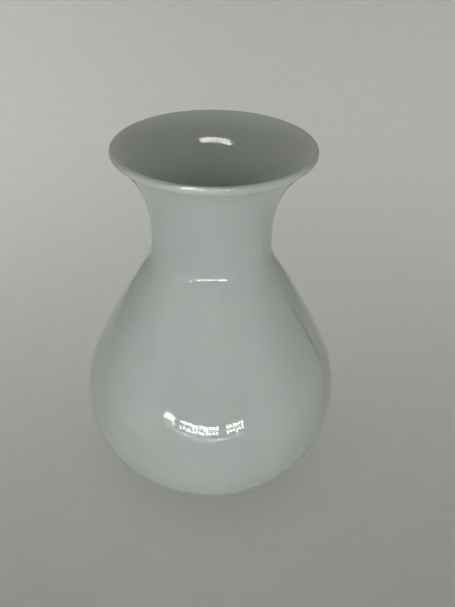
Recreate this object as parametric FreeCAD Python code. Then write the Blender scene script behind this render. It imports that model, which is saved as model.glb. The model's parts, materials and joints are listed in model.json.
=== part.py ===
"""Porcelain vase: flared mouth, narrow neck, pear-shaped belly and a turned foot ring.

Every surface is turned about the vertical axis. Its section is drawn in the XZ plane, where X is the
distance from the axis and Z is the height above the surface that the vase stands on, in millimetres.
The outside is a chain of arcs, each tangent to the next. Every deeper surface of the wall (under the
glaze, inside the wall, inside the vase) is the same chain moved inwards by its depth, so the coats
and the fired body meet face to face.
"""
import FreeCAD, Part
import math
import os

# Overall sizes
total_height = 200.0        # table to the crest of the lip
mouth_radius = 45.0         # outermost reach of the lip
neck_radius = 29.7          # outside of the neck, where it is narrowest
belly_radius = 75.5         # outside of the belly, at its widest level
belly_height = 49.0         # height of that level above the table
foot_radius = 46.0          # outside of the foot ring

# Wall
wall = 3.2                  # fired wall with its glaze on both faces
glaze = 0.3                 # one coat of glaze
floor_top = 10.0            # height of the floor inside the vase
floor_fillet = 20.0         # round between that floor and the wall
base_underside = 5.0        # height of the glazed hollow under the base

# Outside line, from the mouth down
flare_radius = 45.0         # hollow sweep of the trumpet mouth
neck_length = 7.5           # straight part of the neck
shoulder_radius = 40.0      # hollow sweep from the neck onto the shoulder
flank_radius = 630.0        # barely curved flank under the shoulder
belly_arc_radius = 59.0     # from the flank to the widest level
lower_arc_radius = 45.0     # from the widest level down to the foot

# Foot ring
foot_fillet = 3.0           # hollow round between the belly and the foot ring
foot_edge_round = 0.9       # rounded edges of the ring's standing face
bare_height = 1.2           # the ring is free of glaze below this height
base_corner_round = 1.2     # glaze gathered in the corner under the base


def polar(centre, radius, degrees):
    """Point at a distance and direction from a centre, in the section plane."""
    angle = math.radians(degrees)
    return centre + FreeCAD.Vector(radius * math.cos(angle), 0.0, radius * math.sin(angle))


def at(radius, height):
    """Point at a distance from the axis and a height."""
    return FreeCAD.Vector(radius, 0.0, height)


def direction(start, end):
    """Direction from one point to another, in degrees."""
    return math.degrees(math.atan2(end.z - start.z, end.x - start.x))


def arc(centre, radius, start, end):
    """Arc about a centre, from one direction to another, in degrees."""
    middle = polar(centre, radius, (start + end) / 2.0)
    return Part.Arc(polar(centre, radius, start), middle, polar(centre, radius, end)).toShape()


def line(start, end):
    return Part.LineSegment(start, end).toShape()


def meeting_point(centre_a, reach_a, centre_b, reach_b):
    """Point at given distances from two centres, on the axis side of the line between them."""
    gap = centre_b - centre_a
    span = gap.Length
    along = (reach_a ** 2 - reach_b ** 2 + span ** 2) / (2.0 * span)
    across = math.sqrt(reach_a ** 2 - along ** 2)
    unit = gap / span
    return centre_a + unit * along + FreeCAD.Vector(unit.z, 0.0, -unit.x) * across


# Centres of the arcs, worked out so that each arc is tangent to its neighbours
lip_radius = wall / 2.0
lip_centre = at(mouth_radius - lip_radius, total_height - lip_radius)
flare_reach = neck_radius + flare_radius
flare_drop = math.sqrt((flare_radius + lip_radius) ** 2 - (flare_reach - lip_centre.x) ** 2)
flare_centre = at(flare_reach, lip_centre.z - flare_drop)
lip_turn = direction(flare_centre, lip_centre)
neck_foot = flare_centre.z - neck_length
shoulder_centre = at(neck_radius + shoulder_radius, neck_foot)
belly_centre = at(belly_radius - belly_arc_radius, belly_height)
lower_centre = at(belly_radius - lower_arc_radius, belly_height)
flank_centre = meeting_point(
    shoulder_centre, shoulder_radius + flank_radius, belly_centre, flank_radius - belly_arc_radius
)
flank_top = direction(flank_centre, shoulder_centre)
flank_bottom = direction(flank_centre, belly_centre)

foot_fillet_reach = foot_radius + foot_fillet
foot_fillet_shift = foot_fillet_reach - lower_centre.x
foot_fillet_drop = math.sqrt((lower_arc_radius + foot_fillet) ** 2 - foot_fillet_shift ** 2)
foot_fillet_centre = at(foot_fillet_reach, lower_centre.z - foot_fillet_drop)
foot_turn = direction(lower_centre, foot_fillet_centre)

floor_fillet_height = floor_top + floor_fillet
floor_fillet_gap = lower_arc_radius - wall - floor_fillet
floor_fillet_shift = math.sqrt(floor_fillet_gap ** 2 - (lower_centre.z - floor_fillet_height) ** 2)
floor_fillet_centre = at(lower_centre.x + floor_fillet_shift, floor_fillet_height)
floor_turn = direction(lower_centre, floor_fillet_centre)

# The fired body's rounded underside ends where its flat base begins, and the foot ring's inner side
# comes down from that circle.
clay_lower_radius = lower_arc_radius - glaze
clay_base = base_underside + glaze
base_turn = -math.degrees(math.asin((lower_centre.z - clay_base) / clay_lower_radius))
ring_inner_radius = polar(lower_centre, clay_lower_radius, base_turn).x


def wall_line(depth, last_turn):
    """The wall's surface at a depth under the outside, from below the lip to a turn of the lower arc."""
    neck = neck_radius - depth
    return [
        arc(flare_centre, flare_radius + depth, lip_turn, 180.0),
        line(at(neck, flare_centre.z), at(neck, neck_foot)),
        arc(shoulder_centre, shoulder_radius + depth, 180.0, 180.0 + flank_top),
        arc(flank_centre, flank_radius - depth, flank_top, flank_bottom),
        arc(belly_centre, belly_arc_radius - depth, flank_bottom, 0.0),
        arc(lower_centre, lower_arc_radius - depth, 0.0, last_turn),
    ]


def lip_line(inset, start, end):
    """The rounded lip, at an inset under its outside."""
    return arc(lip_centre, lip_radius - inset, start, end)


def foot_side_line(depth):
    """From the lower belly, round the hollow fillet and down the foot ring to the glaze line."""
    side = foot_radius - depth
    return [
        arc(foot_fillet_centre, foot_fillet + depth, 180.0 + foot_turn, 180.0),
        line(at(side, foot_fillet_centre.z), at(side, bare_height)),
    ]


def floor_line(depth):
    """From the lower wall, round the inner fillet and across the floor to the axis."""
    radius = floor_fillet + wall - depth
    height = floor_top - wall + depth
    return [
        arc(floor_fillet_centre, radius, floor_turn, -90.0),
        line(at(floor_fillet_centre.x, height), at(0.0, height)),
    ]


def turned(edges):
    """Solid made by turning a closed section once about the axis."""
    section = Part.Face(Part.Wire(Part.__sortEdges__(edges)))
    return section.revolve(FreeCAD.Vector(0, 0, 0), FreeCAD.Vector(0, 0, 1), 360.0)


def porcelain_body():
    """Fired wall and floor, between the outer and the inner glaze."""
    inside = wall - glaze
    edges = [lip_line(glaze, lip_turn - 180.0, lip_turn)]
    edges += wall_line(glaze, base_turn)
    edges += wall_line(inside, floor_turn)
    edges += floor_line(inside)
    edges.append(line(at(ring_inner_radius, clay_base), at(0.0, clay_base)))
    edges.append(line(at(0.0, clay_base), at(0.0, floor_top - glaze)))
    return turned(edges)


def foot_ring():
    """Ring under the belly that the vase stands on, with a bare, flat standing face."""
    outside = foot_radius - glaze
    edge = foot_edge_round
    standing_outer = at(outside - edge, edge)
    standing_inner = at(ring_inner_radius + edge, edge)
    edges = [arc(lower_centre, clay_lower_radius, base_turn, foot_turn)]
    edges += foot_side_line(glaze)
    edges.append(line(at(outside, bare_height), at(outside, edge)))
    edges.append(arc(standing_outer, edge, 0.0, -90.0))
    edges.append(line(at(standing_outer.x, 0.0), at(standing_inner.x, 0.0)))
    edges.append(arc(standing_inner, edge, -90.0, -180.0))
    edges.append(line(at(ring_inner_radius, edge), at(ring_inner_radius, clay_base)))
    return turned(edges)


def outer_glaze():
    """Coat on the outside, from the crest of the lip to the glaze line on the foot ring."""
    edges = []
    for depth in (0.0, glaze):
        edges.append(lip_line(depth, lip_turn - 180.0, 90.0))
        edges += wall_line(depth, foot_turn)
        edges += foot_side_line(depth)
    edges.append(line(at(foot_radius, bare_height), at(foot_radius - glaze, bare_height)))
    edges.append(line(polar(lip_centre, lip_radius, 90.0), polar(lip_centre, lip_radius - glaze, 90.0)))
    return turned(edges)


def inner_glaze():
    """Coat on the inside, from the crest of the lip down to the floor."""
    edges = []
    for depth in (wall - glaze, wall):
        edges.append(lip_line(wall - depth, 90.0, lip_turn))
        edges += wall_line(depth, floor_turn)
        edges += floor_line(depth)
    edges.append(line(polar(lip_centre, lip_radius, 90.0), polar(lip_centre, lip_radius - glaze, 90.0)))
    edges.append(line(at(0.0, floor_top), at(0.0, floor_top - glaze)))
    return turned(edges)


def base_glaze():
    """Coat in the hollow under the base, gathered in its corner and down the ring's inner side."""
    side = ring_inner_radius - glaze
    corner = at(side - base_corner_round, base_underside - base_corner_round)
    edges = [
        line(at(0.0, base_underside), at(corner.x, base_underside)),
        arc(corner, base_corner_round, 90.0, 0.0),
        line(at(side, corner.z), at(side, bare_height)),
        line(at(side, bare_height), at(ring_inner_radius, bare_height)),
        line(at(ring_inner_radius, bare_height), at(ring_inner_radius, clay_base)),
        line(at(ring_inner_radius, clay_base), at(0.0, clay_base)),
        line(at(0.0, clay_base), at(0.0, base_underside)),
    ]
    return turned(edges)


def write_parts():
    os.makedirs("parts", exist_ok=True)
    for make in (porcelain_body, foot_ring, outer_glaze, inner_glaze, base_glaze):
        solid = make()
        solid.exportStep("parts/" + make.__name__ + ".step")
        print(make.__name__, solid.ShapeType, solid.isValid(), round(solid.Volume, 1), "mm3")
    standing_inner = ring_inner_radius + foot_edge_round
    standing_outer = foot_radius - glaze - foot_edge_round
    print("slopes of the flank from upright:", round(flank_top, 1), round(flank_bottom, 1))
    print("standing face, inner and outer radius:", round(standing_inner, 2), round(standing_outer, 2))


write_parts()
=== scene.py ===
"""White glazed porcelain vase on a pale paper sweep, in metres, +Z up, front towards -Y.

The fired body, the foot ring and the three coats of glaze are turned meshes that stand for the CAD
solids of the same name. They follow the CAD section, and share one gentle kiln warp.
"""
import json
import math
import bpy
from mathutils import Matrix, Vector, noise

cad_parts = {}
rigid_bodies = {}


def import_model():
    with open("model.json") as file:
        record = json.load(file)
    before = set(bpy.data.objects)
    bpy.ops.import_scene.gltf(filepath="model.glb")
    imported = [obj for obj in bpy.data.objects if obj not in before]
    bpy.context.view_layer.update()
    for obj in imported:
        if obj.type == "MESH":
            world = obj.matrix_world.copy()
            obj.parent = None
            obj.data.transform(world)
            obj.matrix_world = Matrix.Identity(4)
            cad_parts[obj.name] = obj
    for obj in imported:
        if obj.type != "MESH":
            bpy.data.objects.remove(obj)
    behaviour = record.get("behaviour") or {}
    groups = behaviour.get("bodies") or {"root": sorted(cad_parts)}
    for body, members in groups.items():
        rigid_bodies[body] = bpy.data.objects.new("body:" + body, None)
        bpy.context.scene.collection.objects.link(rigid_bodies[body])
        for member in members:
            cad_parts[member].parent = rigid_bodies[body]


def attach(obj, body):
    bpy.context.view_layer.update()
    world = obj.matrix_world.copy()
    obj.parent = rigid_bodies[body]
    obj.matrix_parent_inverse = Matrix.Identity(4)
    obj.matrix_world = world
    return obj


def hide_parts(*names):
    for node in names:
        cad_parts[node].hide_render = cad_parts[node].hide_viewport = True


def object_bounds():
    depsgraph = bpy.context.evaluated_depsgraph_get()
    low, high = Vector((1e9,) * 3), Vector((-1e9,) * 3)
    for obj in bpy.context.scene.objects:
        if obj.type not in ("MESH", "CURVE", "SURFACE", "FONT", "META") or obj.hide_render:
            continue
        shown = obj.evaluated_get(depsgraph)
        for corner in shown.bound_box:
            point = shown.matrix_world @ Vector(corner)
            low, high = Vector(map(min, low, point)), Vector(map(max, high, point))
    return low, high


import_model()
cad_low, cad_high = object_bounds()

MM = 0.001

# The vase's section, as the CAD has it
TOTAL_HEIGHT = cad_high.z
BELLY_RADIUS = cad_high.x
FOOT_RADIUS = 46.0 * MM
MOUTH_RADIUS = 45.0 * MM
NECK_RADIUS = 29.7 * MM
BELLY_HEIGHT = 49.0 * MM
WALL = 3.2 * MM
GLAZE = 0.3 * MM
FLOOR_TOP = 10.0 * MM
FLOOR_FILLET = 20.0 * MM
BASE_UNDERSIDE = 5.0 * MM
FLARE_RADIUS = 45.0 * MM
NECK_LENGTH = 7.5 * MM
SHOULDER_RADIUS = 40.0 * MM
FLANK_RADIUS = 630.0 * MM
BELLY_ARC_RADIUS = 59.0 * MM
LOWER_ARC_RADIUS = 45.0 * MM
FOOT_FILLET = 3.0 * MM
FOOT_EDGE_ROUND = 0.9 * MM
BARE_HEIGHT = 1.2 * MM
BASE_CORNER_ROUND = 1.2 * MM

# Mesh density
TURNS = 256                 # facets round the axis
FINE = 1.0 * MM             # longest step along a face that shows
COARSE = 5.0 * MM           # longest step along a face that is fused to another
ARC_PARTS = 8               # fewest steps on any arc
CREASE = 35                 # degrees between two faces from which their edge is shaded sharp
SAME_POINT = 1e-6           # points of an outline closer than this are one
ON_AXIS = 1e-7              # a radius smaller than this is the axis

# Kiln warp: the mouth leans a little to one side and the wall is never perfectly round
WARP_START = 155.0 * MM     # height where the lean begins
MOUTH_SHIFT = 1.2 * MM      # sideways, at the lip
MOUTH_TILT = 0.0056         # rise per distance sideways, at the lip
WALL_WAVER = 0.05 * MM      # slow waver of the wall
WAVER_SIZE = 38.0 * MM      # size of one wave of it


def point(centre, radius, degrees):
    angle = math.radians(degrees)
    return (centre[0] + radius * math.cos(angle), centre[1] + radius * math.sin(angle))


def direction(start, end):
    return math.degrees(math.atan2(end[1] - start[1], end[0] - start[0]))


def arc(centre, radius, start, end, step):
    parts = max(ARC_PARTS, math.ceil(abs(math.radians(end - start)) * radius / step))
    return [point(centre, radius, start + (end - start) * i / parts) for i in range(parts + 1)]


def line(start, end, step):
    length = math.hypot(end[0] - start[0], end[1] - start[1])
    parts = max(1, math.ceil(length / step))
    return [
        (start[0] + (end[0] - start[0]) * i / parts, start[1] + (end[1] - start[1]) * i / parts)
        for i in range(parts + 1)
    ]


# Centres of the section's arcs, each tangent to its neighbours
LIP_RADIUS = WALL / 2
LIP = (MOUTH_RADIUS - LIP_RADIUS, TOTAL_HEIGHT - LIP_RADIUS)
FLARE_REACH = NECK_RADIUS + FLARE_RADIUS
FLARE = (
    FLARE_REACH,
    LIP[1] - math.sqrt((FLARE_RADIUS + LIP_RADIUS) ** 2 - (FLARE_REACH - LIP[0]) ** 2),
)
LIP_TURN = direction(FLARE, LIP)
NECK_FOOT = FLARE[1] - NECK_LENGTH
SHOULDER = (NECK_RADIUS + SHOULDER_RADIUS, NECK_FOOT)
BELLY = (BELLY_RADIUS - BELLY_ARC_RADIUS, BELLY_HEIGHT)
LOWER = (BELLY_RADIUS - LOWER_ARC_RADIUS, BELLY_HEIGHT)


def flank_centre():
    """Centre of the flank's arc, tangent to the shoulder's hollow and to the belly."""
    reach_a = SHOULDER_RADIUS + FLANK_RADIUS
    reach_b = FLANK_RADIUS - BELLY_ARC_RADIUS
    gap = (BELLY[0] - SHOULDER[0], BELLY[1] - SHOULDER[1])
    span = math.hypot(*gap)
    along = (reach_a ** 2 - reach_b ** 2 + span ** 2) / (2 * span)
    across = math.sqrt(reach_a ** 2 - along ** 2)
    unit = (gap[0] / span, gap[1] / span)
    return (
        SHOULDER[0] + unit[0] * along + unit[1] * across,
        SHOULDER[1] + unit[1] * along - unit[0] * across,
    )


FLANK = flank_centre()
FLANK_TOP = direction(FLANK, SHOULDER)
FLANK_BOTTOM = direction(FLANK, BELLY)
FILLET_REACH = FOOT_RADIUS + FOOT_FILLET
FILLET = (
    FILLET_REACH,
    LOWER[1] - math.sqrt((LOWER_ARC_RADIUS + FOOT_FILLET) ** 2 - (FILLET_REACH - LOWER[0]) ** 2),
)
FOOT_TURN = direction(LOWER, FILLET)
FLOOR_GAP = LOWER_ARC_RADIUS - WALL - FLOOR_FILLET
FLOOR = (
    LOWER[0] + math.sqrt(FLOOR_GAP ** 2 - (LOWER[1] - FLOOR_TOP - FLOOR_FILLET) ** 2),
    FLOOR_TOP + FLOOR_FILLET,
)
FLOOR_TURN = direction(LOWER, FLOOR)
CLAY_LOWER = LOWER_ARC_RADIUS - GLAZE
CLAY_BASE = BASE_UNDERSIDE + GLAZE
BASE_TURN = -math.degrees(math.asin((LOWER[1] - CLAY_BASE) / CLAY_LOWER))
RING_INNER = point(LOWER, CLAY_LOWER, BASE_TURN)[0]


def wall_line(depth, last_turn, step):
    """From below the lip down to a turn of the lower arc, at a depth under the outside."""
    neck = NECK_RADIUS - depth
    return (
        arc(FLARE, FLARE_RADIUS + depth, LIP_TURN, 180, step)
        + line((neck, FLARE[1]), (neck, NECK_FOOT), step)
        + arc(SHOULDER, SHOULDER_RADIUS + depth, 180, 180 + FLANK_TOP, step)
        + arc(FLANK, FLANK_RADIUS - depth, FLANK_TOP, FLANK_BOTTOM, step)
        + arc(BELLY, BELLY_ARC_RADIUS - depth, FLANK_BOTTOM, 0, step)
        + arc(LOWER, LOWER_ARC_RADIUS - depth, 0, last_turn, step)
    )


def foot_side_line(depth, step):
    """From the lower belly, round the hollow fillet and down the foot ring to the glaze line."""
    side = FOOT_RADIUS - depth
    return (
        arc(FILLET, FOOT_FILLET + depth, 180 + FOOT_TURN, 180, step)
        + line((side, FILLET[1]), (side, BARE_HEIGHT), step)
    )


def floor_line(depth, step):
    """From the lower wall, round the inner fillet and across the floor to the axis."""
    radius = FLOOR_FILLET + WALL - depth
    height = FLOOR_TOP - WALL + depth
    fillet = arc(FLOOR, radius, FLOOR_TURN, -90, step)
    return fillet + line((FLOOR[0], height), (0.0, height), 2 * step)


def body_outline():
    inside = WALL - GLAZE
    outer = wall_line(GLAZE, BASE_TURN, COARSE)
    outer += line((RING_INNER, CLAY_BASE), (0.0, CLAY_BASE), COARSE)
    inner = wall_line(inside, FLOOR_TURN, COARSE) + floor_line(inside, COARSE)
    lip = arc(LIP, LIP_RADIUS - GLAZE, LIP_TURN, LIP_TURN - 180, COARSE)
    return inner[::-1] + lip + outer


def foot_ring_outline():
    outside = FOOT_RADIUS - GLAZE
    edge = FOOT_EDGE_ROUND
    return (
        arc(LOWER, CLAY_LOWER, BASE_TURN, FOOT_TURN, FINE)
        + foot_side_line(GLAZE, FINE)
        + arc((outside - edge, edge), edge, 0, -90, FINE)
        + arc((RING_INNER + edge, edge), edge, -90, -180, FINE)
        + line((RING_INNER, edge), (RING_INNER, CLAY_BASE), FINE)
    )


def outer_glaze_outline():
    outside = arc(LIP, LIP_RADIUS, 90, LIP_TURN - 180, FINE) + wall_line(0.0, FOOT_TURN, FINE)
    outside += foot_side_line(0.0, FINE)
    fused = arc(LIP, LIP_RADIUS - GLAZE, 90, LIP_TURN - 180, COARSE)
    fused += wall_line(GLAZE, FOOT_TURN, COARSE) + foot_side_line(GLAZE, COARSE)
    return outside + fused[::-1]


def inner_glaze_outline():
    inside = arc(LIP, LIP_RADIUS, 90, LIP_TURN, FINE) + wall_line(WALL, FLOOR_TURN, FINE)
    inside += floor_line(WALL, FINE)
    fused = arc(LIP, LIP_RADIUS - GLAZE, 90, LIP_TURN, COARSE)
    fused += wall_line(WALL - GLAZE, FLOOR_TURN, COARSE) + floor_line(WALL - GLAZE, COARSE)
    return inside[::-1] + fused


def base_glaze_outline():
    side = RING_INNER - GLAZE
    corner = (side - BASE_CORNER_ROUND, BASE_UNDERSIDE - BASE_CORNER_ROUND)
    return (
        line((0.0, BASE_UNDERSIDE), (corner[0], BASE_UNDERSIDE), FINE)
        + arc(corner, BASE_CORNER_ROUND, 90, 0, FINE)
        + line((side, corner[1]), (side, BARE_HEIGHT), FINE)
        + line((RING_INNER, BARE_HEIGHT), (RING_INNER, CLAY_BASE), COARSE)
        + line((RING_INNER, CLAY_BASE), (0.0, CLAY_BASE), COARSE)
    )


def without_repeats(outline):
    """The outline with each point once, also where two lines meet and where it closes."""
    kept = []
    for place in outline:
        if not kept or math.dist(place, kept[-1]) > SAME_POINT:
            kept.append(place)
    if math.dist(kept[0], kept[-1]) < SAME_POINT:
        kept.pop()
    return kept


def warped(x, y, z):
    """Where the kiln left a point that was turned true."""
    rise = max(0.0, (z - WARP_START) / (TOTAL_HEIGHT - WARP_START)) ** 2
    angle = math.atan2(y, x)
    turn = Vector((math.cos(angle), math.sin(angle), z / BELLY_RADIUS))
    wave = noise.noise(turn * (BELLY_RADIUS / WAVER_SIZE))
    waver = WALL_WAVER * (wave - 1.0) * min(1.0, z / BELLY_HEIGHT)
    radius = math.hypot(x, y)
    scale = 1.0 + waver / max(radius, WALL_WAVER) if radius > WALL else 1.0
    drop = MOUTH_TILT * MOUTH_RADIUS * rise
    return (x * scale + MOUTH_SHIFT * rise, y * scale, z + MOUTH_TILT * x * rise - drop)


def turned(name, outline, node, material):
    """Closed piece made by turning an outline about the axis; a point on the axis is one vertex."""
    outline = without_repeats(outline)
    vertices = []
    rings = []
    for radius, height in outline:
        if radius < ON_AXIS:
            rings.append([len(vertices)])
            vertices.append(warped(0.0, 0.0, height))
            continue
        rings.append(list(range(len(vertices), len(vertices) + TURNS)))
        for i in range(TURNS):
            angle = math.tau * i / TURNS
            vertices.append(warped(radius * math.cos(angle), radius * math.sin(angle), height))
    faces = []
    for j, ring in enumerate(rings):
        other = rings[(j + 1) % len(rings)]
        if len(ring) == 1 and len(other) == 1:
            continue
        for i in range(TURNS):
            k = (i + 1) % TURNS
            if len(ring) == 1:
                faces.append((ring[0], other[i], other[k]))
            elif len(other) == 1:
                faces.append((ring[i], other[0], ring[k]))
            else:
                faces.append((ring[i], other[i], other[k], ring[k]))
    mesh = bpy.data.meshes.new(name)
    mesh.from_pydata(vertices, [], faces)
    mesh.shade_smooth()
    mesh.set_sharp_from_angle(angle=math.radians(CREASE))
    mesh.materials.append(material)
    piece = bpy.data.objects.new(name, mesh)
    bpy.context.collection.objects.link(piece)
    outward(mesh)
    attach(piece, "root")
    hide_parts(node)


def outward(mesh):
    """Turns the faces outwards, if the enclosed volume comes out negative."""
    volume = 0.0
    for face in mesh.polygons:
        volume += face.center.dot(face.normal) * face.area
    if volume < 0:
        mesh.flip_normals()


class Nodes:
    """A material's node tree, with one short call per node."""

    def __init__(self, name):
        self.material = bpy.data.materials.new(name)
        self.material.use_nodes = True
        self.tree = self.material.node_tree
        self.shader = self.tree.nodes["Principled BSDF"]
        self.place = self.new("ShaderNodeTexCoord").outputs["Object"]

    def new(self, kind, **settings):
        node = self.tree.nodes.new(kind)
        for key, value in settings.items():
            setattr(node, key, value)
        return node

    def link(self, source, target):
        self.tree.links.new(source, target)

    def noise(self, scale, detail=2.0, roughness=0.5, stretch=(1, 1, 1)):
        """Noise with about `scale` cells a metre, stretched along an axis by its factor."""
        mapping = self.new("ShaderNodeMapping")
        mapping.inputs["Scale"].default_value = stretch
        self.link(self.place, mapping.inputs["Vector"])
        node = self.new("ShaderNodeTexNoise")
        node.inputs["Scale"].default_value = scale
        node.inputs["Detail"].default_value = detail
        node.inputs["Roughness"].default_value = roughness
        self.link(mapping.outputs["Vector"], node.inputs["Vector"])
        return node.outputs["Fac"]

    def spread(self, value, low, high, out_low=0.0, out_high=1.0):
        """Maps low..high of the value to out_low..out_high, and holds it there outside."""
        node = self.new("ShaderNodeMapRange")
        node.inputs["From Min"].default_value = low
        node.inputs["From Max"].default_value = high
        node.inputs["To Min"].default_value = out_low
        node.inputs["To Max"].default_value = out_high
        self.link(value, node.inputs["Value"])
        return node.outputs["Result"]

    def maths(self, operation, a, b):
        node = self.new("ShaderNodeMath", operation=operation)
        for socket, value in zip(node.inputs, (a, b)):
            if isinstance(value, (int, float)):
                socket.default_value = value
            else:
                self.link(value, socket)
        return node.outputs["Value"]

    def mix(self, factor, a, b):
        node = self.new("ShaderNodeMix", data_type="RGBA")
        self.link(factor, node.inputs["Factor"])
        for socket, value in zip((node.inputs[6], node.inputs[7]), (a, b)):
            if isinstance(value, tuple):
                socket.default_value = (*value, 1.0)
            else:
                self.link(value, socket)
        return node.outputs[2]

    def bump(self, height, distance, normal=None):
        node = self.new("ShaderNodeBump")
        node.inputs["Strength"].default_value = 1.0
        node.inputs["Distance"].default_value = distance
        self.link(height, node.inputs["Height"])
        if normal is not None:
            self.link(normal, node.inputs["Normal"])
        return node.outputs["Normal"]

    def height(self):
        node = self.new("ShaderNodeSeparateXYZ")
        self.link(self.place, node.inputs["Vector"])
        return node.outputs["Z"]

    def set(self, **values):
        for key, value in values.items():
            self.shader.inputs[key.replace("_", " ")].default_value = value


# Glaze
WHITE = (0.79, 0.82, 0.795)
THICK_GLAZE = (0.755, 0.80, 0.775)
THIN_LIP = (0.81, 0.825, 0.795)
SPECK = (0.34, 0.30, 0.25)
GLOSSIEST, DULLEST = 0.02, 0.06     # roughness
CLOUD_CELLS, GLOSS_CELLS, RAGGED_CELLS = 22.0, 90.0, 160.0      # a metre
WAVE_CELLS, RING_CELLS, PEEL_CELLS = 55.0, 7.0, 420.0
SPECK_CELLS, SPECK_SIZE, SPECK_SHARE = 260.0, 0.07, 0.012
THIN_FROM = 2.6 * MM        # below the lip's crest, where the glaze begins to thin
THIN_TO = 0.4 * MM          # below the crest, where it is thinnest
RAGGED = 0.0012             # how far that line wanders up and down
WAVE_RISE = 0.02 * MM       # slow waves of the glaze
RING_RISE = 0.012 * MM      # turning rings under it
RING_STRETCH = (1, 1, 26)   # they are long round the vase and narrow up it
PEEL_RISE = 0.002 * MM      # orange peel
BLISTER_PLACE = (0.004, -0.0322, 0.141)
BLISTER_RADIUS = 0.0016
BLISTER_RISE = 0.40 * MM
BLISTER_DOME = 1.4          # power: above 1 the bubble is steeper at its middle

# Bare porcelain
BARE = (0.80, 0.775, 0.73)
BARE_DARK = (0.74, 0.71, 0.66)
SOIL = (0.50, 0.46, 0.41)
SOIL_HEIGHT = 0.5 * MM
GRIT = (0.42, 0.38, 0.33)
SMOOTHEST, ROUGHEST = 0.62, 0.85    # roughness
TONE_CELLS, SOIL_CELLS, MATT_CELLS = 120.0, 300.0, 500.0        # a metre
SAND_CELLS, GRAIN_CELLS = 900.0, 3500.0
GRIT_CELLS, GRIT_SIZE, GRIT_SHARE = 700.0, 0.12, 0.06
SAND_RISE = 0.03 * MM
GRAIN_RISE = 0.012 * MM


def specks(nodes, cells, size, share):
    """Sparse round specks: this share of the cells holds one, of this size in cells."""
    cell = nodes.new("ShaderNodeTexVoronoi")
    cell.inputs["Scale"].default_value = cells
    nodes.link(nodes.place, cell.inputs["Vector"])
    near = nodes.spread(cell.outputs["Distance"], size, size * 0.4)
    pick = nodes.new("ShaderNodeSeparateColor")
    nodes.link(cell.outputs["Color"], pick.inputs["Color"])
    chosen = nodes.maths("LESS_THAN", pick.outputs["Red"], share)
    return nodes.maths("MULTIPLY", near, chosen)


def blister(nodes, normal):
    """One small bubble in the glaze, on the front below the neck."""
    away = nodes.new("ShaderNodeVectorMath", operation="DISTANCE")
    nodes.link(nodes.place, away.inputs[0])
    away.inputs[1].default_value = BLISTER_PLACE
    dome = nodes.spread(away.outputs["Value"], BLISTER_RADIUS, 0.0)
    return nodes.bump(nodes.maths("POWER", dome, BLISTER_DOME), BLISTER_RISE, normal)


def glaze_material(name, lip=False, marks=False):
    """Clear gloss over white porcelain: greener in clouds where it is thick, paler on the lip."""
    nodes = Nodes(name)
    cloud = nodes.spread(nodes.noise(CLOUD_CELLS, 3.0), 0.35, 0.65)
    colour = nodes.mix(cloud, WHITE, THICK_GLAZE)
    if lip:
        ragged = nodes.maths("MULTIPLY", nodes.noise(RAGGED_CELLS, 2.0), RAGGED)
        edge = nodes.maths("ADD", nodes.height(), ragged)
        thin = nodes.spread(edge, TOTAL_HEIGHT - THIN_FROM, TOTAL_HEIGHT - THIN_TO)
        colour = nodes.mix(thin, colour, THIN_LIP)
    colour = nodes.mix(specks(nodes, SPECK_CELLS, SPECK_SIZE, SPECK_SHARE), colour, SPECK)
    nodes.link(colour, nodes.shader.inputs["Base Color"])
    gloss = nodes.spread(nodes.noise(GLOSS_CELLS, 4.0), 0.3, 0.7, GLOSSIEST, DULLEST)
    nodes.link(gloss, nodes.shader.inputs["Roughness"])
    waves = nodes.bump(nodes.noise(WAVE_CELLS, 1.0), WAVE_RISE)
    rings = nodes.bump(nodes.noise(RING_CELLS, 2.0, 0.6, RING_STRETCH), RING_RISE, waves)
    normal = nodes.bump(nodes.noise(PEEL_CELLS, 2.0), PEEL_RISE, rings)
    if marks:
        normal = blister(nodes, normal)
    nodes.link(normal, nodes.shader.inputs["Normal"])
    nodes.set(IOR=1.5, Subsurface_Weight=0.12, Subsurface_Scale=0.003)
    return nodes.material


def biscuit_material(name):
    """Bare fired porcelain: matt, faintly sandy, a little soiled where it stands."""
    nodes = Nodes(name)
    tone = nodes.mix(nodes.spread(nodes.noise(TONE_CELLS, 4.0), 0.3, 0.7), BARE, BARE_DARK)
    low_down = nodes.spread(nodes.height(), SOIL_HEIGHT, 0.0)
    soiled = nodes.maths("MULTIPLY", low_down, nodes.noise(SOIL_CELLS, 4.0))
    tone = nodes.mix(soiled, tone, SOIL)
    tone = nodes.mix(specks(nodes, GRIT_CELLS, GRIT_SIZE, GRIT_SHARE), tone, GRIT)
    nodes.link(tone, nodes.shader.inputs["Base Color"])
    matt = nodes.spread(nodes.noise(MATT_CELLS, 3.0), 0.3, 0.7, SMOOTHEST, ROUGHEST)
    nodes.link(matt, nodes.shader.inputs["Roughness"])
    sand = nodes.bump(nodes.noise(SAND_CELLS, 3.0), SAND_RISE)
    grain = nodes.bump(nodes.noise(GRAIN_CELLS, 2.0), GRAIN_RISE, sand)
    nodes.link(grain, nodes.shader.inputs["Normal"])
    return nodes.material


def make_vase():
    biscuit = biscuit_material("bare_porcelain")
    outer = glaze_material("glaze_outside", lip=True, marks=True)
    inner = glaze_material("glaze_inside", lip=True)
    base = glaze_material("glaze_under_base")
    turned("fired_body", body_outline(), "porcelain_body", biscuit)
    turned("fired_foot_ring", foot_ring_outline(), "foot_ring", biscuit)
    turned("glazed_outside", outer_glaze_outline(), "outer_glaze", outer)
    turned("glazed_inside", inner_glaze_outline(), "inner_glaze", inner)
    turned("glazed_base", base_glaze_outline(), "base_glaze", base)


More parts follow.
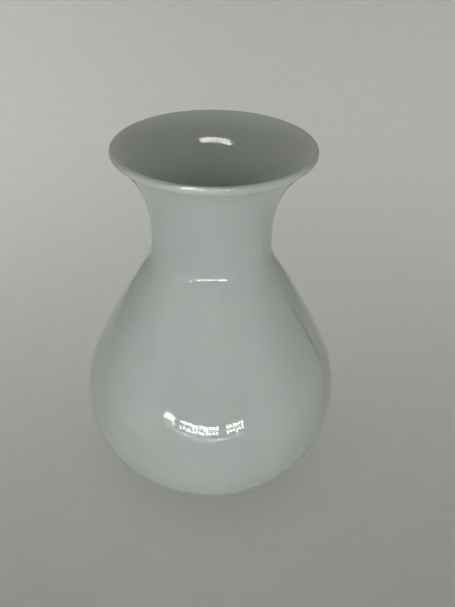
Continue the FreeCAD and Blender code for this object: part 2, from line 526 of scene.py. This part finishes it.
# Paper sweep that the vase stands on
PAPER = (0.84, 0.85, 0.80)
PAPER_SHADE = 0.97          # darkest parts of its grain, as a share of its colour
MOTTLE_CELLS, FIBRE_CELLS = 60.0, 1200.0    # a metre
FIBRE_RISE = 0.01 * MM
PAPER_ROUGHNESS = 0.85
SWEEP_SIDES = 192
SWEEP_FLAT = 0.30           # radius of the flat floor
SWEEP_CURVE = 0.40          # radius of the cove round it
SWEEP_HEIGHT = 1.00

# Camera: a handheld view over the lip, turned a touch to the right and slightly rolled
CAMERA_BACK = 4.339         # in front of the axis, in mouth radii
CAMERA_RISE = 1.628         # above the lip, in mouth radii
CAMERA_PITCH, CAMERA_YAW, CAMERA_ROLL = 40.10, -2.58, 1.75
LENS, SENSOR_WIDTH = 27.04, 36.0    # millimetres

# Lights that give the vase its brightness: name, place, aim, size, watts, colour
VASE_LIGHTS = (
    ("front_middle", (-0.02, -0.38, 0.20), (0, 0, 0.13), (0.25, 0.06), 0.32, (1.0, 0.98, 1.0)),
    ("front_above", (0.0, -0.55, 0.50), (0, 0, 0.13), (0.30, 0.20), 0.05, (1.0, 0.9, 0.7)),
    ("left_side", (-0.45, -0.25, 0.18), (0, 0, 0.12), (0.20, 0.10), 0.047, (1, 1, 1)),
    ("left_rear", (-0.216, 0.134, 0.20), (0, 0.134, 0.20), (0.072, 0.40), 0.03, (0.9, 1, 0.95)),
    ("right_rear", (0.158, 0.134, 0.20), (0, 0.134, 0.20), (0.072, 0.40), 0.007, (0.9, 1, 1)),
    ("behind", (0.0, 0.50, 0.22), (0, 0, 0.11), (0.30, 0.20), 0.42, (1, 1, 1)),
)

# Lights that only the paper gets: the same columns, then the beam in degrees and whether it shadows
PAPER_LIGHTS = (
    ("paper_left", (-0.60, 0.20, 0.70), (-0.42, 0.55, 0.05), (0.6, 0.5), 1.19, (0.95, 1.0, 1.04),
     115, False),
    ("paper_right", (0.60, 0.20, 0.70), (0.42, 0.55, 0.05), (0.6, 0.5), 0.70, (0.96, 0.98, 1.04),
     115, False),
    ("paper_top", (0.0, 0.30, 1.60), (0.0, 0.30, 0.0), (1.5, 1.5), 0.9, (1.0, 1.02, 1.04),
     180, True),
)

# Light tent round the vase, by its inside faces. It is only seen mirrored in the glaze.
TENT_LEFT, TENT_RIGHT = -0.30, 0.23
TENT_FRONT, TENT_BACK = -0.34, 0.19
TENT_TOP = 0.52
SEAM = 0.083                # how far back the fold in each side wall is
SEAM_WIDTH = 0.018
SEAM_INSET = 0.98           # distance of the fold from the axis, as a share of the wall's
# painted shade: the fold's sheet is black to stand for the shadow in the fold
FOLD_SHADE_BLACK = 0.01
WALLS = (("left_wall", TENT_LEFT, 0.90), ("right_wall", TENT_RIGHT, 0.80))     # last: radiance
WALL_FADE = 0.85            # how much of it is gone at the seam
REAR_RADIANCE, REAR_FADE = 0.16, 0.95
HAZE_HEIGHT, HAZE_SIZE, HAZE_WATTS = 0.28, (0.40, 0.26), 0.25

# Lamp strips across the tent's front, each two rows of chips
STRIP_LEFT, STRIP_RIGHT = -0.250, 0.150
STRIP_MIDDLE = (STRIP_LEFT + STRIP_RIGHT) / 2
STRIP_LENGTH = STRIP_RIGHT - STRIP_LEFT
STRIP_RADIANCE = 60.0
CHIP_PITCH = 0.0150
CHIP_HALF = 0.18            # half the lit width, in pitches
ROW_HALF = 0.30             # half the lit height, in rows
GAP_HALF = 0.9              # half the width of an unlit gap, in chips
LOW_STRIP, LOW_STRIP_WIDTH, LOW_STRIP_GAPS = 0.072, 0.015, (0.22, 0.74)
HIGH_STRIP, HIGH_STRIP_WIDTH, HIGH_STRIP_GAPS = 0.52, 0.060, (0.5,)
HIGH_STRIP_AIM = 0.2        # the height on the axis that it faces
LIP_STRIP_PLACE, LIP_STRIP_AIM = (-0.07, -0.28, 0.85), (-0.07, 0, 0.2)
LIP_STRIP_SIZE = (0.54, 0.06)
LIP_STRIP_RADIANCE = 13 * STRIP_RADIANCE
EDGE_HEIGHT, EDGE_WIDTH, EDGE_RADIANCE = 0.059, 0.002, 8.0     # pale line under the low strip

WORLD_COLOUR = (1.0, 0.985, 0.90, 1.0)
WORLD_STRENGTH = 0.225


def paper_material():
    nodes = Nodes("sweep_paper")
    grain = nodes.spread(nodes.noise(MOTTLE_CELLS, 6.0, 0.6), 0.3, 0.7)
    colour = nodes.mix(grain, PAPER, tuple(c * PAPER_SHADE for c in PAPER))
    nodes.link(colour, nodes.shader.inputs["Base Color"])
    nodes.link(nodes.bump(nodes.noise(FIBRE_CELLS, 3.0), FIBRE_RISE), nodes.shader.inputs["Normal"])
    nodes.set(Roughness=PAPER_ROUGHNESS)
    return nodes.material


def lathed_sheet(name, outline):
    """Open sheet turned about the axis, for the floor and the cove round it."""
    vertices = []
    for radius, height in outline:
        for i in range(SWEEP_SIDES):
            angle = math.tau * i / SWEEP_SIDES
            vertices.append((radius * math.cos(angle), radius * math.sin(angle), height))
    faces = []
    for j in range(len(outline) - 1):
        start = j * SWEEP_SIDES
        for i in range(SWEEP_SIDES):
            k = (i + 1) % SWEEP_SIDES
            faces.append((start + i, start + SWEEP_SIDES + i, start + SWEEP_SIDES + k, start + k))
    mesh = bpy.data.meshes.new(name)
    mesh.from_pydata(vertices, [], faces)
    mesh.shade_smooth()
    sheet = bpy.data.objects.new(name, mesh)
    bpy.context.collection.objects.link(sheet)
    return sheet


def make_sweep():
    """Floor, and a cove that only the camera sees, so that light comes in from all sides."""
    paper = paper_material()
    floor = lathed_sheet("sweep_floor", line((0.001, 0.0), (SWEEP_FLAT, 0.0), 0.05))
    cove = arc((SWEEP_FLAT, SWEEP_CURVE), SWEEP_CURVE, -90, 0, 0.02)
    wall = SWEEP_FLAT + SWEEP_CURVE
    cove += line((wall, SWEEP_CURVE), (wall, SWEEP_HEIGHT), 0.05)
    cove = lathed_sheet("sweep_cove", without_repeats(cove))
    cove.visible_shadow = False
    cove.visible_diffuse = False
    cove.visible_glossy = False
    for sheet in (floor, cove):
        sheet.data.materials.append(paper)


def area_light(name, place, aim, size, watts, colour, only):
    """Rectangular light that the camera doesn't see, on one set of pieces only."""
    data = bpy.data.lights.new(name, "AREA")
    data.shape = "RECTANGLE"
    data.size, data.size_y = size
    data.energy = watts
    data.color = colour
    light = bpy.data.objects.new(name, data)
    light.location = place
    light.rotation_mode = "QUATERNION"
    light.rotation_quaternion = (Vector(aim) - Vector(place)).to_track_quat("-Z", "Y")
    light.visible_camera = False
    light.light_linking.receiver_collection = only
    bpy.context.collection.objects.link(light)
    return light


def soft_light(*row):
    """Light that brightens, but is not mirrored in the glaze."""
    light = area_light(*row)
    light.visible_glossy = False
    return light


def mirrored_light(name, place, aim, size, watts, only):
    """Light that is mirrored in the glaze, but brightens nothing."""
    light = area_light(name, place, aim, size, watts, (1, 1, 1), only)
    light.visible_diffuse = False
    return light


def watts_for(radiance, size):
    return radiance * math.pi * size[0] * size[1]


def make_camera():
    pitch = math.radians(CAMERA_PITCH)
    yaw = math.radians(CAMERA_YAW)
    roll = math.radians(CAMERA_ROLL)
    level = Vector((-math.sin(yaw), math.cos(yaw), 0.0))
    ahead = level * math.cos(pitch) - Vector((0, 0, 1)) * math.sin(pitch)
    right = Vector((math.cos(yaw), math.sin(yaw), 0.0))
    up = right.cross(ahead)
    right_rolled = right * math.cos(roll) + up * math.sin(roll)
    up_rolled = up * math.cos(roll) - right * math.sin(roll)
    data = bpy.data.cameras.new("camera")
    data.sensor_width = SENSOR_WIDTH
    data.lens = LENS
    data.clip_start, data.clip_end = 0.01, 20.0
    camera = bpy.data.objects.new("camera", data)
    turn = Matrix((right_rolled, up_rolled, -ahead)).transposed()
    reach = CAMERA_BACK * MOUTH_RADIUS
    rise = CAMERA_RISE * MOUTH_RADIUS
    camera.matrix_world = Matrix.Translation((0.0, -reach, TOTAL_HEIGHT + rise)) @ turn.to_4x4()
    bpy.context.collection.objects.link(camera)
    bpy.context.scene.camera = camera


def light_maths(light):
    """Nodes for a brightness that changes over a light's face.

    Returns the places across and up the face, from 0 to 1, a call that adds one sum, and a call
    that makes a value the brightness.
    """
    light.data.use_nodes = True
    tree = light.data.node_tree
    place = tree.nodes.new("ShaderNodeNewGeometry")
    split = tree.nodes.new("ShaderNodeSeparateXYZ")
    tree.links.new(place.outputs["Parametric"], split.inputs[0])

    def maths(kind, *values):
        node = tree.nodes.new("ShaderNodeMath")
        node.operation = kind
        for socket, value in zip(node.inputs, values):
            if isinstance(value, (int, float)):
                socket.default_value = value
            else:
                tree.links.new(value, socket)
        return node.outputs[0]

    def shine(value):
        tree.links.new(value, tree.nodes["Emission"].inputs["Strength"])

    return split.outputs[0], split.outputs[1], maths, shine


def chip_strip(name, place, aim, size, radiance, gaps, only):
    """Two rows of small lamps, unlit at the gaps, which are given as shares of its length."""
    light = mirrored_light(name, place, aim, size, watts_for(radiance, size), only)
    across, up, maths, shine = light_maths(light)
    chips = round(size[0] / CHIP_PITCH)
    along = maths("MULTIPLY", across, chips)
    lit = maths("COMPARE", maths("FRACT", along), 0.5, CHIP_HALF)
    row = maths("FRACT", maths("MULTIPLY", up, 2.0))
    lit = maths("MULTIPLY", lit, maths("COMPARE", row, 0.5, ROW_HALF))
    for gap in gaps:
        dark = maths("COMPARE", along, gap * chips, GAP_HALF)
        lit = maths("MULTIPLY", lit, maths("SUBTRACT", 1.0, dark))
    shine(lit)


def on_front(height):
    """Middle of the lamp strips' length, on the tent's front."""
    return (STRIP_MIDDLE, TENT_FRONT, height)


def on_axis(height):
    """The place straight behind that, in line with the vase."""
    return (STRIP_MIDDLE, 0, height)


def make_strips(vase, outside):
    chip_strip("low_strip", on_front(LOW_STRIP), on_axis(LOW_STRIP),
               (STRIP_LENGTH, LOW_STRIP_WIDTH), STRIP_RADIANCE, LOW_STRIP_GAPS, vase)
    chip_strip("high_strip", on_front(HIGH_STRIP), on_axis(HIGH_STRIP_AIM),
               (STRIP_LENGTH, HIGH_STRIP_WIDTH), STRIP_RADIANCE, HIGH_STRIP_GAPS, vase)
    chip_strip("lip_strip", LIP_STRIP_PLACE, LIP_STRIP_AIM, LIP_STRIP_SIZE,
               LIP_STRIP_RADIANCE, (), outside)
    size = (STRIP_LENGTH, EDGE_WIDTH)
    mirrored_light("strip_edge", on_front(EDGE_HEIGHT), on_axis(EDGE_HEIGHT), size,
                   watts_for(EDGE_RADIANCE, size), outside)


def make_haze(outside):
    """Soft brightness of the tent's front between the strips, fading out to all its edges."""
    haze = mirrored_light("front_haze", on_front(HAZE_HEIGHT), on_axis(HAZE_HEIGHT),
                          HAZE_SIZE, HAZE_WATTS, outside)
    across, up, maths, shine = light_maths(haze)
    rise, spread = (maths("SINE", maths("MULTIPLY", part, math.pi)) for part in (up, across))
    shine(maths("MULTIPLY", rise, spread))


def wall_part(name, x, front, back, radiance, fade, only):
    """Lit side wall of the tent from front to back, dimmed evenly towards the back."""
    middle = front + (back - front) / 2
    size = (back - front, TENT_TOP)
    light = mirrored_light(name, (x, middle, TENT_TOP / 2), (0, middle, TENT_TOP / 2), size,
                           watts_for(radiance, size), only)
    across, _, maths, shine = light_maths(light)
    near = maths("SUBTRACT", 1.0, across) if x < 0 else across
    shine(maths("SUBTRACT", 1.0, maths("MULTIPLY", near, fade)))


def fold_shade_sheet(name, x):
    """Black sheet in the fold of a side wall of the tent, painted shade for the fold's shadow, seen
    only as a thin dark line in the glaze.
    """
    front, back = SEAM - SEAM_WIDTH / 2, SEAM + SEAM_WIDTH / 2
    mesh = bpy.data.meshes.new(name)
    corners = [(x, front, 0.0), (x, back, 0.0), (x, back, TENT_TOP), (x, front, TENT_TOP)]
    mesh.from_pydata(corners, [], [(0, 1, 2, 3)])
    seam = bpy.data.objects.new(name, mesh)
    nodes = Nodes(name)
    nodes.set(Base_Color=(FOLD_SHADE_BLACK, FOLD_SHADE_BLACK, FOLD_SHADE_BLACK, 1.0), Roughness=1.0)
    mesh.materials.append(nodes.material)
    bpy.context.collection.objects.link(seam)
    seam.visible_camera = False
    seam.visible_diffuse = False
    seam.visible_shadow = False


def light_set(name, prefixes):
    """Collection of the pieces that a light may shine on."""
    chosen = bpy.data.collections.new(name)
    for item in bpy.context.scene.objects:
        if item.type == "MESH" and item.name.startswith(prefixes):
            chosen.objects.link(item)
    return chosen


def make_lights():
    vase = light_set("lit_vase", ("fired", "glazed"))
    outside = light_set("lit_outside", ("glazed_outside",))
    sweep = light_set("lit_sweep", ("sweep",))
    for row in VASE_LIGHTS:
        soft_light(*row, vase)
    for *row, beam, shadows in PAPER_LIGHTS:
        light = soft_light(*row, sweep)
        light.data.use_shadow = shadows
        light.data.spread = math.radians(beam)
    make_strips(vase, outside)
    make_haze(outside)
    for name, x, radiance in WALLS:
        wall_part(name, x, TENT_FRONT, SEAM, radiance, WALL_FADE, outside)
        wall_part(name + "_rear", x, SEAM, TENT_BACK, REAR_RADIANCE, REAR_FADE, outside)
        # a black sheet in each wall's fold, as painted shade
        fold_shade_sheet(name + "_seam", x * SEAM_INSET)


def make_world():
    world = bpy.data.worlds.new("tent_light")
    world.use_nodes = True
    background = world.node_tree.nodes["Background"]
    background.inputs["Color"].default_value = WORLD_COLOUR
    background.inputs["Strength"].default_value = WORLD_STRENGTH
    bpy.context.scene.world = world


make_vase()
make_sweep()
make_lights()
make_world()
make_camera()
bpy.context.scene.view_settings.view_transform = "Standard"
